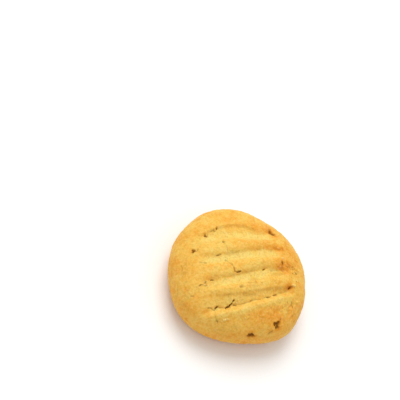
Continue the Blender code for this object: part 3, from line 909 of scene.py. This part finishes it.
def baked_grain_group():
    """Fine dry grain of baked dough: a height for bump, pale specks and dark specks.

    Height is two noises, one three times finer. The specks are where a fine noise is
    highest and lowest.
    """
    group = bpy.data.node_groups.new("baked grain", "ShaderNodeTree")
    new = group.interface.new_socket
    new("Vector", in_out="INPUT", socket_type="NodeSocketVector")
    new("Scale", in_out="INPUT", socket_type="NodeSocketFloat").default_value = GRAIN_SCALE
    for label in ("Height", "Pale", "Dark"):
        new(label, in_out="OUTPUT", socket_type="NodeSocketFloat")
    given, out = group.nodes.new("NodeGroupInput"), group.nodes.new("NodeGroupOutput")
    place, scale = given.outputs["Vector"], given.outputs["Scale"]
    soft = add(group, "TexNoise", {"Vector": place, "Scale": scale, **SOFT_GRAIN}).outputs["Fac"]
    finer = scaled(group, scale, FINER_GRAIN)
    fine = add(group, "TexNoise", {"Vector": place, "Scale": finer, **FINE_GRAIN}).outputs["Fac"]
    both = add(group, "Math", {0: fine, 1: FINE_SHARE, 2: soft}, operation="MULTIPLY_ADD")
    give(group, out.inputs["Height"], both.outputs[0])
    give(group, out.inputs["Pale"], spread(group, soft, PALE_SPAN))
    give(group, out.inputs["Dark"], spread(group, soft, DARK_SPAN))
    return group


def new_material(name, finish):
    """A material with its tree and its shader, whose constants the finish names."""
    material = bpy.data.materials.new(name)
    material.use_nodes = True
    shader = material.node_tree.nodes["Principled BSDF"]
    for label, value in finish.items():
        shader.inputs[label].default_value = value
    return material, material.node_tree, shader


def point_number(tree, label):
    """The number that each point of the mesh carries under a name."""
    return add(tree, "Attribute", attribute_name=label).outputs["Fac"]


def mix_colour(tree, share, first, second):
    """One colour over another by a share."""
    inputs = {"Factor": share, "A": first, "B": second}
    return add(tree, "Mix", inputs, data_type="RGBA").outputs["Result"]


def dress(tree, shader, colour, height, bump):
    """Give a shader its colour, and its normal from a height."""
    give(tree, shader.inputs["Base Color"], colour)
    normal = add(tree, "Bump", {"Height": height, **bump}).outputs["Normal"]
    give(tree, shader.inputs["Normal"], normal)


# Colours of the crust from pale to dark brown, each at its share of browning.
BAKE_COLOURS = (
    (0.00, (0.84, 0.632, 0.172, 1.0)),
    (0.25, (0.85, 0.556, 0.113, 1.0)),
    (0.45, (0.85, 0.473, 0.073, 1.0)),
    (0.65, (0.83, 0.362, 0.035, 1.0)),
    (0.82, (0.64, 0.225, 0.010, 1.0)),
    (1.00, (0.34, 0.105, 0.003, 1.0)),
)
# The colour of the painted shade in cracks, seed sockets, creases and along the marks' feet.
PAINTED_SHADE_COLOUR = (0.26, 0.086, 0.001, 1.0)
PALE_SPECK = (0.95, 0.66, 0.24, 1.0)
PALE_SPECK_SHARE = 0.50
DARK_SPECK = (0.60, 0.26, 0.03, 1.0)
DARK_SPECK_SHARE = 0.55
MOTTLE_NOISE = {"Scale": 380.0, "Detail": 5.0, "Roughness": 0.65}
MOTTLE_SPAN = {"To Min": -0.42, "To Max": 0.42}
CRUST_BUMP = {"Strength": 0.9, "Distance": 0.18 * MM}
BAKED_FINISH = {
    "Roughness": 0.62,
    "Specular IOR Level": 0.13,
    "Subsurface Weight": 0.35,
    "Subsurface Radius": (1.0, 0.45, 0.15),
    "Subsurface Scale": 0.8 * MM,
}


def bake_ramp(tree, share, colours):
    """The colour at a share of browning, between the colours given at their shares."""
    ramp = add(tree, "ValToRGB", {"Fac": share})
    stops = ramp.color_ramp.elements
    for position, colour in colours[1:-1]:
        stops.new(position).color = colour
    stops[0].color, stops[-1].color = colours[0][1], colours[-1][1]
    return ramp.outputs["Color"]


def baked_material(name, colours, grain_group):
    """Baked dough: browning through the ramp, mottled, specked, and painted shade in the hollows.
    """
    material, tree, shader = new_material(name, BAKED_FINISH)
    place = add(tree, "TexCoord").outputs["Object"]
    mottle = add(tree, "TexNoise", {"Vector": place, **MOTTLE_NOISE}).outputs["Fac"]
    both = {0: point_number(tree, "brown"), 1: spread(tree, mottle, MOTTLE_SPAN)}
    brown = add(tree, "Math", both, operation="ADD", use_clamp=True).outputs[0]
    given = {"Vector": place, "Scale": GRAIN_SCALE}
    grain = add(tree, "Group", given, node_tree=grain_group).outputs
    pale = scaled(tree, grain["Pale"], PALE_SPECK_SHARE)
    dark = scaled(tree, grain["Dark"], DARK_SPECK_SHARE)
    colour = mix_colour(tree, pale, bake_ramp(tree, brown, colours), PALE_SPECK)
    colour = mix_colour(tree, dark, colour, DARK_SPECK)
    colour = mix_colour(tree, point_number(tree, "painted_shade"), colour, PAINTED_SHADE_COLOUR)
    dress(tree, shader, colour, grain["Height"], CRUST_BUMP)
    return material


baked_grain = baked_grain_group()
dough.data.materials.append(baked_material("baked crust", BAKE_COLOURS, baked_grain))
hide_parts("biscuit")
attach(dough, "root")

# ------------------------------
# The anise seeds.
# Whole dried fruits of anise, mixed into the dough: small ribbed eggs, grey-brown with
# paler ribs, which lie in the crust with only their backs showing.
# ------------------------------

SEED_TAPER = 0.28
SEED_BEND = 0.12
SEED_RIBS = 10
RIB_HEIGHT = 0.06
SEED_STEPS = 22
SEED_SIDES = 40
# Sizes as shares of the whole seed, but a slim one where an opening is this long.
SEED_DRAW = 101
SEED_SIZES = (0.80, 1.04)
WHOLE_OPENING = 2.5 * MM
BARE_SEED_SHARE = 0.72


def closed_rings(rings, sides):
    """Quads and triangles of a shape: rings of points, then one point for each end."""
    index = np.arange(rings * sides).reshape(rings, sides)
    first, last = ring_fan(index[0], index.size), ring_fan(index[-1], index.size + 1)
    return ring_quads(index), np.concatenate((first[:, ::-1], last))


def seed_shape():
    """One seed along X at unit length: rings of an egg, ribbed, bent, closed by two points.

    At t from -1 to 1 the ring's radius is sqrt(1 - t^2), narrowing towards +X, times
    1 plus the ribs' cosine. The middle line sinks with t^2.
    """
    t = -np.cos(np.linspace(0.0, math.pi, SEED_STEPS + 1))[1:-1, None]
    turn = np.linspace(0.0, 2.0 * math.pi, SEED_SIDES, endpoint=False)
    rib = np.cos(SEED_RIBS * turn)
    wide = SEED_WIDTH / 2.0 * np.sqrt(1.0 - t * t) * (1.0 - SEED_TAPER * t)
    wide = wide * (1.0 + RIB_HEIGHT * rib)
    sink = SEED_BEND * SEED_WIDTH
    x = np.broadcast_to(SEED_LENGTH / 2.0 * t, wide.shape)
    rings = np.stack((x, wide * np.cos(turn), wide * np.sin(turn) - sink * t * t), axis=-1)
    tips = [[-SEED_LENGTH / 2.0, 0.0, -sink], [SEED_LENGTH / 2.0, 0.0, -sink]]
    points = np.concatenate((rings.reshape(-1, 3), tips))
    ribs = np.concatenate((np.tile(0.5 + 0.5 * rib, len(t)), [0.5, 0.5]))
    return points, [kind[:, ::-1] for kind in closed_rings(*wide.shape)], ribs


def copied_faces(kinds, copies, step):
    """Faces of several copies of a shape, each copy's point numbers moved on by a step."""
    moved = (kind + step * np.arange(copies)[:, None, None] for kind in kinds)
    quads, triangles = (faces.reshape(-1, faces.shape[2]).tolist() for faces in moved)
    return quads + triangles


def plain_crust(part, turn):
    """Points of the crust with its swells and marks alone, which the seeds are sunk into."""
    dome = smooth_dome(part, turn)
    x, y, z = dome[:3]
    on_top = np.where(z > WIDEST_LEVEL, 1.0, 0.0)
    relief = swell(x, y, z, part) - pressed(x, y)[0] * on_top
    return moved_out(dome, turn, relief)


def lay_seeds():
    """Every seed turned into its place and joined in one mesh.

    Under a long opening lies a slim seed, bare all round. The others are partly covered.
    """
    shape, kinds, ribs = seed_shape()
    places = seed_places()
    covers = plain_crust(places[:, 0], places[:, 1])
    draw = np.random.default_rng(SEED_DRAW)
    points, tones = [], []
    for cover, axes, (length, width, back) in zip(covers, seed_frames()[1], places[:, 3:6]):
        size = draw.uniform(*SEED_SIZES)
        if length > WHOLE_OPENING:
            size = BARE_SEED_SHARE * width / SEED_WIDTH
        middle = cover - axes[2] * (SEED_WIDTH * size / 2.0 - back)
        points.append(shape * size @ axes + middle)
        tones.append(np.full(len(shape), draw.uniform(0.0, 1.0)))
    faces = copied_faces(kinds, len(places), len(shape))
    values = {"rib": np.tile(ribs, len(places)), "tone": np.concatenate(tones)}
    return np.concatenate(points), faces, values


seed_points, seed_faces, seed_values = lay_seeds()
seeds = mesh_piece("anise_seeds", seed_points - SHIFT, seed_faces, seed_values)

SEED_GROOVE = (0.115, 0.038, 0.001, 1.0)
SEED_RIB = (0.54, 0.235, 0.022, 1.0)
SEED_TOASTED = (0.36, 0.12, 0.004, 1.0)
TOASTED_SHARE = 0.35
FLECK_NOISE = {"Scale": 1500.0, "Detail": 3.0}
FLECK_SPAN = {"From Min": 0.40, "From Max": 0.62}
RIB_SPAN = {"From Min": 0.35, "From Max": 0.85, "To Max": 1.6}
SEED_BUMP = {"Strength": 0.3, "Distance": 0.06 * MM}
SEED_FINISH = {"Roughness": 0.6, "Specular IOR Level": 0.08}


def seed_material():
    """Dried seed: dark grooves, paler ribs, some seeds toasted darker than others."""
    material, tree, shader = new_material("anise seed", SEED_FINISH)
    place = add(tree, "TexCoord").outputs["Object"]
    fleck = add(tree, "TexNoise", {"Vector": place, **FLECK_NOISE}).outputs["Fac"]
    rib = spread(tree, point_number(tree, "rib"), RIB_SPAN)
    share = scaled(tree, rib, spread(tree, fleck, FLECK_SPAN))
    toasted = scaled(tree, point_number(tree, "tone"), TOASTED_SHARE)
    colour = mix_colour(tree, share, SEED_GROOVE, SEED_RIB)
    colour = mix_colour(tree, toasted, colour, SEED_TOASTED)
    dress(tree, shader, colour, fleck, SEED_BUMP)
    return material


seeds.data.materials.append(seed_material())
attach(seeds, "root")

# ------------------------------
# The crumbs.
# Grains of the same dough, torn off where the fork left the crust and where it cracked,
# and baked on: small angular lumps, some paler than the crust they lie on.
# ------------------------------

# Crumbs that stand out: x, y and size in millimetres, and how brown.
CRUMBS = (
    (-12.3, -16.3, 0.46, 0.18),
    (-11.8, -16.35, 0.56, 0.18),
    (-11.2, -16.4, 0.56, 0.18),
    (-10.7, -16.5, 0.42, 0.18),
    (-5.3, -17.2, 0.30, 0.20),
    (-14.5, -16.5, 0.26, 0.20),
    (14.7, -9.0, 0.80, 0.24),
    (15.5, -9.2, 0.54, 0.24),
    (16.4, -7.5, 0.36, 0.25),
    (13.9, 0.9, 0.50, 0.15),
    (15.9, -4.6, 0.46, 0.42),
    (16.6, -5.1, 0.40, 0.30),
    (18.9, -3.6, 0.46, 0.35),
    (18.0, -3.5, 0.36, 0.45),
    (16.9, -3.1, 0.40, 0.45),
    (15.9, -2.5, 0.40, 0.50),
    (18.4, -4.6, 0.34, 0.42),
    (17.3, -2.0, 0.34, 0.45),
    (-16.2, -4.2, 0.44, 0.10),
    (-15.2, -4.6, 0.36, 0.15),
    (-7.0, -12.2, 0.34, 0.05),
    (-6.4, -11.4, 0.26, 0.10),
    (-9.6, 12.9, 0.26, 0.15),
    (-7.4, 13.6, 0.30, 0.15),
)
# Small ones, scattered over the crust and in its rough patches, sizes in millimetres.
CRUMB_DRAW = 113
LOOSE_CRUMBS = 40
LOOSE_REACH = 20.0
PATCH_CRUMBS = 16
PATCH_CRUMB_SPREAD = 0.6
LOOSE_SIZES = (0.10, 0.24)
LOOSE_BROWNS = (0.35, 0.6)
CRUMB_RINGS = 5
CRUMB_SIDES = 9
CRUMB_WAVES = 5
CRUMB_WAVE_HEIGHT = 0.13
CRUMB_WAVE_REACH = 2.2
CRUMB_STRETCH = (0.6, 1.0)
# Colours of a torn crumb from pale to brown, each at its share of browning.
CRUMB_COLOURS = (
    (0.00, (0.97, 0.70, 0.27, 1.0)),
    (0.30, (0.90, 0.56, 0.12, 1.0)),
    (0.60, (0.80, 0.38, 0.035, 1.0)),
    (1.00, (0.45, 0.15, 0.01, 1.0)),
)


def crumb_shape(draw):
    """One crumb of unit size: a ball whose radius varies by a few sines, flattened a bit.

    Its points lie on rings at even steps between the poles, which come last.
    """
    lean = np.linspace(0.0, math.pi, CRUMB_RINGS + 2)[1:-1, None]
    turn = np.linspace(0.0, 2.0 * math.pi, CRUMB_SIDES, endpoint=False)
    x, y = np.sin(lean) * np.cos(turn), np.sin(lean) * np.sin(turn)
    way = np.stack((x, y, np.broadcast_to(np.cos(lean), x.shape)), axis=-1).reshape(-1, 3)
    way = np.concatenate((way, [[0.0, 0.0, 1.0], [0.0, 0.0, -1.0]]))
    radius = np.ones(len(way))
    for _ in range(CRUMB_WAVES):
        along = CRUMB_WAVE_REACH * way @ draw.normal(size=3)
        radius += CRUMB_WAVE_HEIGHT * np.sin(along + draw.uniform(0.0, 2.0 * math.pi))
    return way * radius[:, None] * draw.uniform(*CRUMB_STRETCH, 3)


def crumb_places(draw):
    """X, y, size and browning of every crumb: the named ones, a scatter and the patches'."""
    far = LOOSE_REACH * np.sqrt(draw.uniform(0.0, 1.0, LOOSE_CRUMBS))
    turn = draw.uniform(-math.pi, math.pi, LOOSE_CRUMBS)
    places = [np.stack((far * np.cos(turn), far * np.sin(turn)), axis=1)]
    for middle_x, middle_y, reach_x, reach_y, _ in ROUGH_PATCHES:
        off = PATCH_CRUMB_SPREAD * draw.normal(size=(PATCH_CRUMBS, 2)) * (reach_x, reach_y)
        places.append(off + (middle_x, middle_y))
    places = np.concatenate(places)
    sizes = draw.uniform(*LOOSE_SIZES, len(places))
    browns = draw.uniform(*LOOSE_BROWNS, len(places))
    return np.concatenate((CRUMBS, np.column_stack((places, sizes, browns))))


def lay_crumbs():
    """Every crumb half sunk in the crust where it lies, joined in one mesh."""
    draw = np.random.default_rng(CRUMB_DRAW)
    rows = crumb_places(draw)
    x, y = rows[:, 0] * MM, rows[:, 1] * MM
    middles = crust(arc_share(x, y), np.arctan2(y, x))[0]
    shapes = [crumb_shape(draw) * size * MM for size in rows[:, 2]]
    points = np.concatenate([shape + middle for shape, middle in zip(shapes, middles)])
    step = len(shapes[0])
    faces = copied_faces(closed_rings(CRUMB_RINGS, CRUMB_SIDES), len(rows), step)
    return points, faces, {"brown": np.repeat(rows[:, 3], step), "painted_shade": np.zeros(len(points))}


crumb_points, crumb_faces, crumb_values = lay_crumbs()
crumbs = mesh_piece("crumbs", crumb_points - SHIFT, crumb_faces, crumb_values)
crumbs.data.materials.append(baked_material("torn crumb", CRUMB_COLOURS, baked_grain))
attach(crumbs, "root")

# ------------------------------
# The floor: a plain sheet, pale and matt, level with the flat base. It is only there to
# stand the biscuit on.
# ------------------------------

FLOOR_REACH = 6.0
FLOOR_FINISH = {
    "Base Color": (0.96, 0.955, 0.945, 1.0),
    "Roughness": 0.9,
    "Specular IOR Level": 0.1,
}


def pale_floor():
    """A wide flat sheet at height 0, a square of one plain colour."""
    corners = FLOOR_REACH * np.array([(-1, -1, 0), (1, -1, 0), (1, 1, 0), (-1, 1, 0)])
    floor = mesh_piece("pale_floor", corners, [(0, 1, 2, 3)], {})
    floor.data.materials.append(new_material("pale floor", FLOOR_FINISH)[0])
    return floor


pale_floor()

# ------------------------------
# The camera: it looks down on the marked top from the side of -X and -Y, rolled so that
# the marks run across the picture. Its aim is turned a little off the biscuit's middle,
# so that the biscuit has its place in the picture with no shift of the lens.
# ------------------------------

PICTURE_SIZE = 400.0
LENS = 150.0
SENSOR_WIDTH = 36.0
FOCAL_PIXELS = LENS / SENSOR_WIDTH * PICTURE_SIZE
CAMERA_TILT = math.radians(32.0)
CAMERA_TURN = math.radians(218.455)
CAMERA_ROLL = math.radians(51.62)
CAMERA_DISTANCE = 555.76 * MM
CLIP_START = 10.0 * MM
AIM_HEIGHT = 9.0 * MM
AIM_PIXEL = (237.84, 276.33)


def camera_axes():
    """Right, up and back of the camera, as columns, when it looks at the aim point.

    Back points from the aim point to the camera. Up is the picture's direction of +Z,
    turned by the roll.
    """
    out, up = math.sin(CAMERA_TILT), math.cos(CAMERA_TILT)
    back = Vector((out * math.cos(CAMERA_TURN), out * math.sin(CAMERA_TURN), up))
    rise = (Vector((0.0, 0.0, 1.0)) - back * back.z).normalized()
    level = rise.cross(back)
    right = rise * math.cos(CAMERA_ROLL) + level * math.sin(CAMERA_ROLL)
    up = rise * math.sin(CAMERA_ROLL) - level * math.cos(CAMERA_ROLL)
    return Matrix((right, up, back)).transposed()


def place_camera():
    """The camera at its distance, turned so that the aim point falls on its pixel."""
    axes = camera_axes()
    place = Vector((-SHIFT[0], -SHIFT[1], AIM_HEIGHT)) + axes.col[2] * CAMERA_DISTANCE
    half = PICTURE_SIZE / 2.0
    seen = Vector((AIM_PIXEL[0] - half, half - AIM_PIXEL[1], -FOCAL_PIXELS))
    turn = seen.rotation_difference(Vector((0.0, 0.0, -1.0))).to_matrix()
    camera = bpy.data.cameras.new("camera")
    camera.lens = LENS
    camera.sensor_width = SENSOR_WIDTH
    camera.clip_start = CLIP_START
    holder = bpy.data.objects.new("camera", camera)
    holder.matrix_world = Matrix.Translation(place) @ (axes @ turn).to_4x4()
    bpy.context.scene.collection.objects.link(holder)
    bpy.context.scene.camera = holder


place_camera()

# ------------------------------
# The light: a wide soft panel above the marks' far side, and an even white sky that fills
# the shadows.
# ------------------------------

PANEL_SIZE = 1.3
PANEL_DISTANCE = 2.0
PANEL_POWER = 22.0
# The way to it, along the camera's right, up and back.
PANEL_WAY = (0.22, 0.79, 0.54)
SKY_STRENGTH = 0.82
HORIZON_SHARE = 0.60
WHITE = (1.0, 1.0, 1.0, 1.0)


def soft_panel():
    """A square panel that faces the biscuit from above it in the picture, a bit to the right."""
    light = bpy.data.lights.new("soft_panel", "AREA")
    light.size = PANEL_SIZE
    light.energy = PANEL_POWER
    holder = bpy.data.objects.new("soft_panel", light)
    towards = (camera_axes() @ Vector(PANEL_WAY)).normalized()
    holder.location = towards * PANEL_DISTANCE
    holder.rotation_euler = towards.to_track_quat("Z", "Y").to_euler()
    bpy.context.scene.collection.objects.link(holder)


def white_sky():
    """A sky that lights softly, more from overhead than from the horizon, and looks white."""
    world = bpy.data.worlds.new("white sky")
    world.use_nodes = True
    tree = world.node_tree
    way = add(tree, "SeparateXYZ", {0: add(tree, "TexCoord").outputs["Generated"]})
    span = {"To Min": HORIZON_SHARE * SKY_STRENGTH, "To Max": SKY_STRENGTH}
    lit, seen = tree.nodes["Background"], add(tree, "Background", {"Color": WHITE})
    give(tree, lit.inputs["Color"], WHITE)
    give(tree, lit.inputs["Strength"], spread(tree, way.outputs["Z"], span))
    ray = add(tree, "LightPath").outputs["Is Camera Ray"]
    mix = add(tree, "MixShader", {0: ray, 1: lit.outputs[0], 2: seen.outputs[0]})
    give(tree, tree.nodes["World Output"].inputs["Surface"], mix.outputs[0])
    bpy.context.scene.world = world


soft_panel()
white_sky()
bpy.context.scene.view_settings.view_transform = "Standard"
